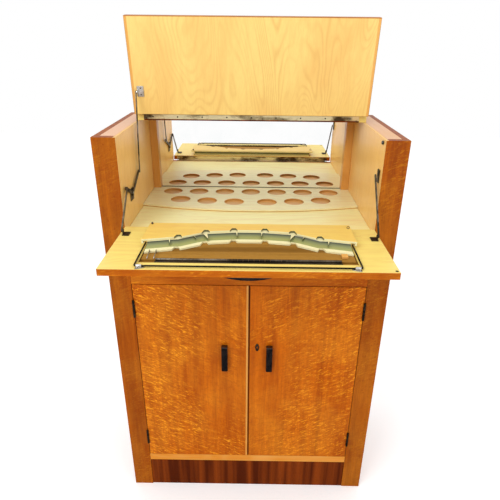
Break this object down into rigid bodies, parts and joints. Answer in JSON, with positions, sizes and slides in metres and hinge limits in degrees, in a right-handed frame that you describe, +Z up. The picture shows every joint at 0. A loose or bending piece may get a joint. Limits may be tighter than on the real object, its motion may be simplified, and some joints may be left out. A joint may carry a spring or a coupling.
{
  "type": "cocktail cabinet",
  "caption": "Upright wooden cocktail cabinet: two-door cupboard below, mirrored drinks compartment above with a drop-front serving flap linked to a lift-up lid.",
  "frame": {"origin": "middle of the footprint's bounding box, flap open, at floor level", "axes": "+Z up, +Y towards the back, +X to the right as seen from the front"},
  "size_m": [0.76, 0.6436, 1.4398],
  "materials": {
    "figured_veneer": "french-polished bird's-eye maple veneer stained warm orange-brown",
    "pale_maple": "satin varnished pale maple with straight and cathedral grain",
    "cap_veneer": "glossy pinkish-brown veneer strip",
    "mahogany": "dark red-brown striped mahogany, satin",
    "plywood": "unfinished birch plywood",
    "aged_brass": "aged and tarnished brass",
    "dark_bronze": "darkened steel with a bronze tone",
    "plated_steel": "worn nickel plate",
    "black_gloss": "black gloss moulded resin",
    "silvered_glass": "clean silvered glass",
    "green_paint": "pale green satin enamel on wood",
    "well_wood": "brown varnished wood"
  },
  "bodies": {
    "cabinet": {"back_panel": "plywood", "compartment_floor": "pale_maple", "apron_panel": "figured_veneer", "cupboard_base": "plywood", "bottom_rail": "pale_maple", "plinth": "mahogany", "front_stile_left": "figured_veneer", "side_panel_left": "figured_veneer", "top_cap_left": "cap_veneer", "compartment_lining_left": "pale_maple", "cupboard_side_left": "plywood", "corner_strip_left": "pale_maple", "front_stile_right": "figured_veneer", "side_panel_right": "figured_veneer", "top_cap_right": "cap_veneer", "compartment_lining_right": "pale_maple", "cupboard_side_right": "plywood", "corner_strip_right": "pale_maple", "mirror_glass": "silvered_glass", "glass_tray": "pale_maple", "fixed_top": "figured_veneer", "lid_hinge_top_leaf": "aged_brass", "crank_bracket": "dark_bronze", "stay_bracket": "dark_bronze", "flap_hinge_floor_leaf": "aged_brass", "left_upper_hinge_frame_leaf": "dark_bronze", "left_lower_hinge_frame_leaf": "dark_bronze", "right_upper_hinge_frame_leaf": "dark_bronze", "right_lower_hinge_frame_leaf": "dark_bronze"},
    "flap": {"flap_panel": "figured_veneer", "flap_hinge_leaf": "aged_brass", "flap_pull": "black_gloss", "flap_bracket_left": "dark_bronze", "flap_bracket_right": "dark_bronze", "bail_bracket_left": "plated_steel", "bail_bracket_right": "plated_steel", "well_hinge_flap_leaf": "dark_bronze"},
    "lid": {"lid_panel": "figured_veneer", "lid_hinge_leaf": "aged_brass", "lid_bracket": "dark_bronze"},
    "lid_rod": {"lid_rod": "dark_bronze"},
    "crank": {"bell_crank": "dark_bronze"},
    "flap_arm": {"flap_arm": "dark_bronze"},
    "stay": {"stay_bar": "dark_bronze"},
    "gallery": {"well_board": "well_wood", "well_hinge_board_leaf": "aged_brass", "gallery_top": "pale_maple", "gallery_cove": "green_paint"},
    "bail": {"bail": "dark_bronze"},
    "left_door": {"left_door": "figured_veneer", "meeting_strip": "mahogany", "left_handle": "black_gloss", "left_upper_hinge_door_leaf": "dark_bronze", "left_lower_hinge_door_leaf": "dark_bronze"},
    "right_door": {"right_door": "figured_veneer", "right_handle": "black_gloss", "escutcheon": "aged_brass", "door_lock": "aged_brass", "right_upper_hinge_door_leaf": "dark_bronze", "right_lower_hinge_door_leaf": "dark_bronze"}
  },
  "joints": [
    {"name": "flap_fall", "type": "hinge", "parent": "cabinet", "child": "flap", "pos_m": [0, -0.0802, 0.9286], "axis": [-1, 0, 0], "range_deg": [0, 90]},
    {"name": "lid_swing", "type": "hinge", "parent": "cabinet", "child": "lid", "pos_m": [0, 0.1698, 1.1913], "axis": [1, 0, 0], "range_deg": [0, 83.8]},
    {"name": "crank_turn", "type": "hinge", "parent": "cabinet", "child": "crank", "pos_m": [-0.317, 0.0148, 1.005], "axis": [-1, 0, 0], "range_deg": [0, 63.9]},
    {"name": "lid_rod_pivot", "type": "hinge", "parent": "lid", "child": "lid_rod", "pos_m": [-0.314, 0.13267, 1.25164], "axis": [-1, 0, 0], "range_deg": [0, 79.4]},
    {"name": "flap_arm_pivot", "type": "hinge", "parent": "flap", "child": "flap_arm", "pos_m": [-0.314, -0.1322, 0.955], "axis": [1, 0, 0], "range_deg": [0, 100.3]},
    {"name": "stay_pivot", "type": "hinge", "parent": "flap", "child": "stay", "pos_m": [0.314, -0.1462, 0.954], "axis": [1, 0, 0], "range_deg": [0, 126.7]},
    {"name": "gallery_lift", "type": "hinge", "parent": "flap", "child": "gallery", "pos_m": [0, -0.2742, 0.9466], "axis": [1, 0, 0], "range_deg": [0, 60]},
    {"name": "bail_swing", "type": "hinge", "parent": "flap", "child": "bail", "pos_m": [0, -0.3112, 0.949], "axis": [1, 0, 0], "range_deg": [0, 42.5]},
    {"name": "left_door_swing", "type": "hinge", "parent": "cabinet", "child": "left_door", "pos_m": [-0.3204, -0.0828, 0.457], "axis": [0, 0, -1], "range_deg": [0, 110]},
    {"name": "right_door_swing", "type": "hinge", "parent": "cabinet", "child": "right_door", "pos_m": [0.3204, -0.0828, 0.457], "axis": [0, 0, 1], "range_deg": [0, 110]}
  ],
  "couplings": [
    {"joint": "lid_swing", "follows": "flap_fall", "ratio": 0.9311},
    {"joint": "crank_turn", "follows": "flap_fall", "ratio": 0.7093},
    {"joint": "lid_rod_pivot", "follows": "flap_fall", "ratio": 0.8818},
    {"joint": "flap_arm_pivot", "follows": "flap_fall", "ratio": 1.1132},
    {"joint": "stay_pivot", "follows": "flap_fall", "ratio": 1.4069},
    {"joint": "bail_swing", "follows": "gallery_lift", "ratio": 0.7062}
  ]
}
